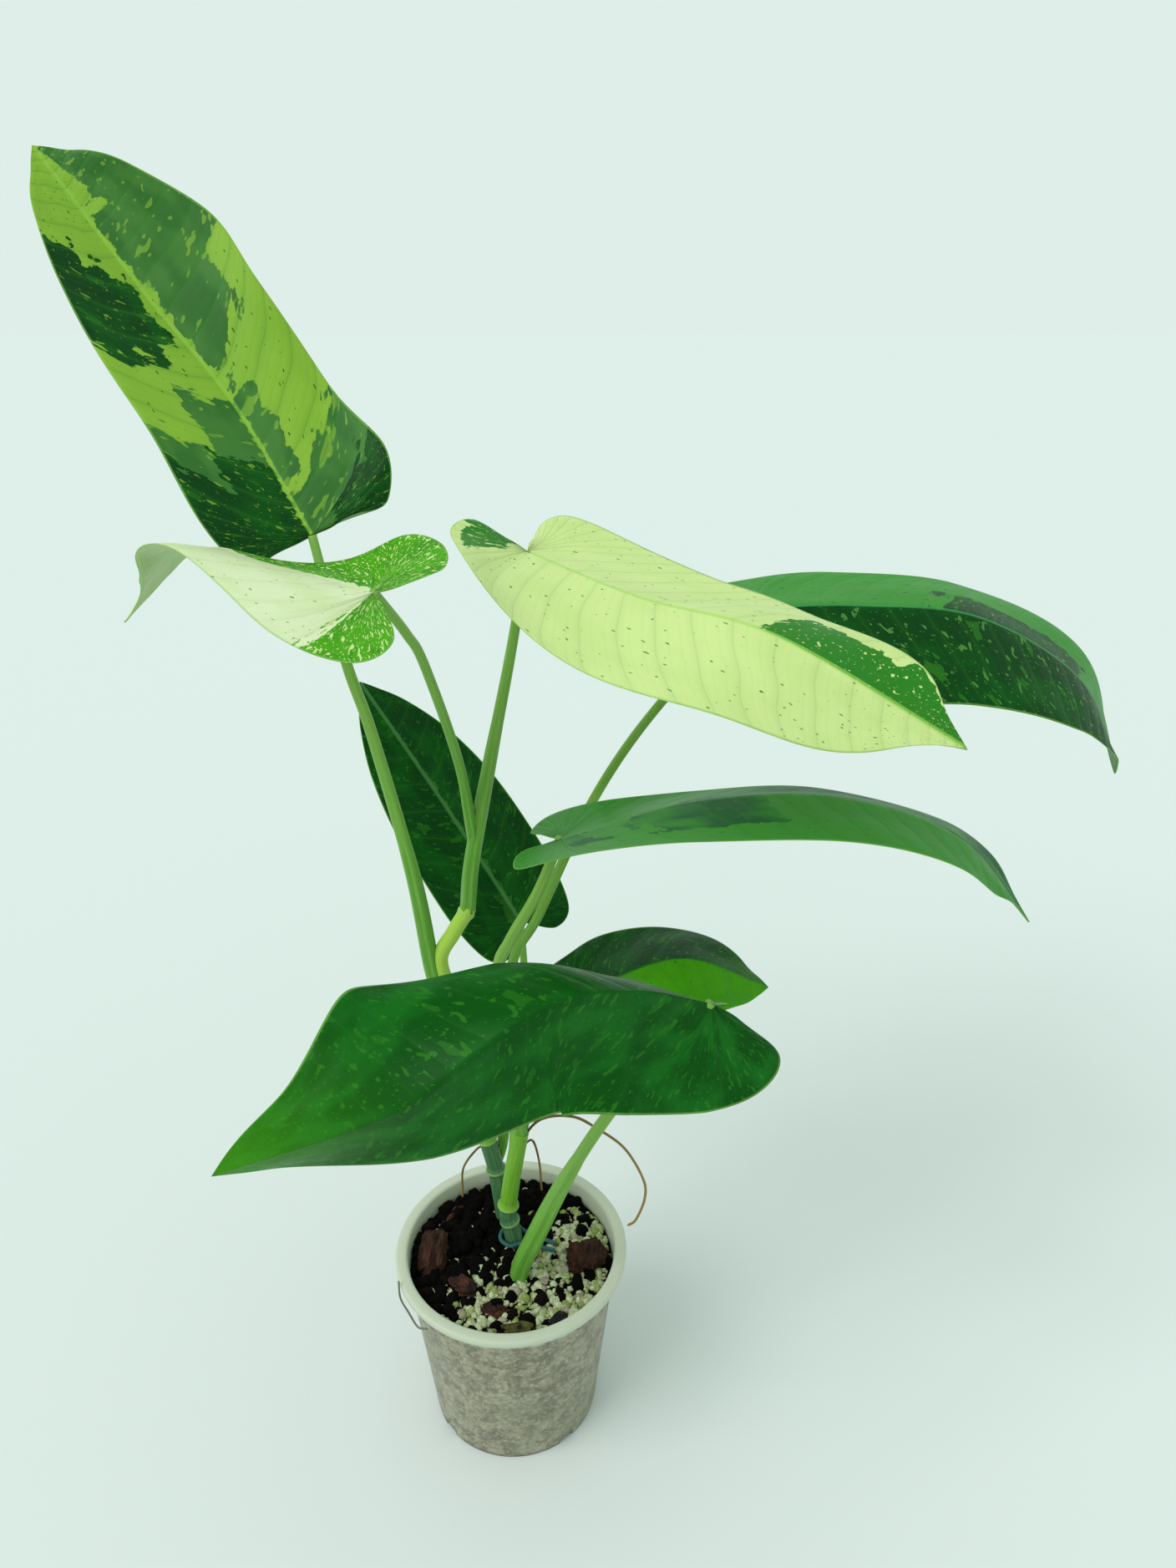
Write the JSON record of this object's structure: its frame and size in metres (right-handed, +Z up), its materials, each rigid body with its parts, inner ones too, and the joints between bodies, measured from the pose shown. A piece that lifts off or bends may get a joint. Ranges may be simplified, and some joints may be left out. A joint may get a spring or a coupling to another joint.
{
  "type": "potted philodendron",
  "caption": "Climbing foliage plant with long variegated arrow-shaped leaves on arching petioles, rooted in a translucent tapered nursery pot of bark mix.",
  "frame": {"origin": "centre of the pot's flat underside", "axes": "+Z up, +X to the right and +Y to the back as the plant is seen from its front"},
  "size_m": [0.5151, 0.2616, 0.618],
  "materials": {
    "pot_plastic": "thin translucent moulded polypropylene, frosted by use",
    "potting_mix": "damp peat and bark with pale pumice grains",
    "cane": "smooth living stem with leaf scars",
    "petiole": "smooth grooved leaf stalk",
    "leaf": "waxy variegated leaf",
    "aerial_root": "dry corky root",
    "tie": "soft coated plant tie",
    "bark": "rough bark and coco husk"
  },
  "bodies": {
    "root": {"nursery_pot": "pot_plastic", "potting_mix": "potting_mix", "cane_back": "cane", "cane_front": "cane", "shoot_upper": "cane", "petiole_top_left": "petiole", "petiole_lime_front": "petiole", "petiole_cream_left": "petiole", "petiole_dark_right": "petiole", "petiole_mid_right": "petiole", "petiole_dark_back": "petiole", "petiole_low_front": "petiole", "petiole_small_right": "petiole", "leaf_top_left": "leaf", "leaf_lime_front": "leaf", "leaf_cream_left": "leaf", "leaf_dark_right": "leaf", "leaf_mid_right": "leaf", "leaf_dark_back": "leaf", "leaf_low_front": "leaf", "leaf_small_right": "leaf", "root_back_left": "aerial_root", "root_back_middle": "aerial_root", "root_long_right": "aerial_root", "root_thin_left": "aerial_root", "plant_tie": "tie", "coco_chunk_right": "bark", "coco_chunk_left": "bark", "bark_flake_red": "bark", "bark_piece_dark": "bark", "bark_piece_mossy": "bark", "charcoal_chip": "bark", "bark_sliver": "bark"}
  },
  "joints": []
}
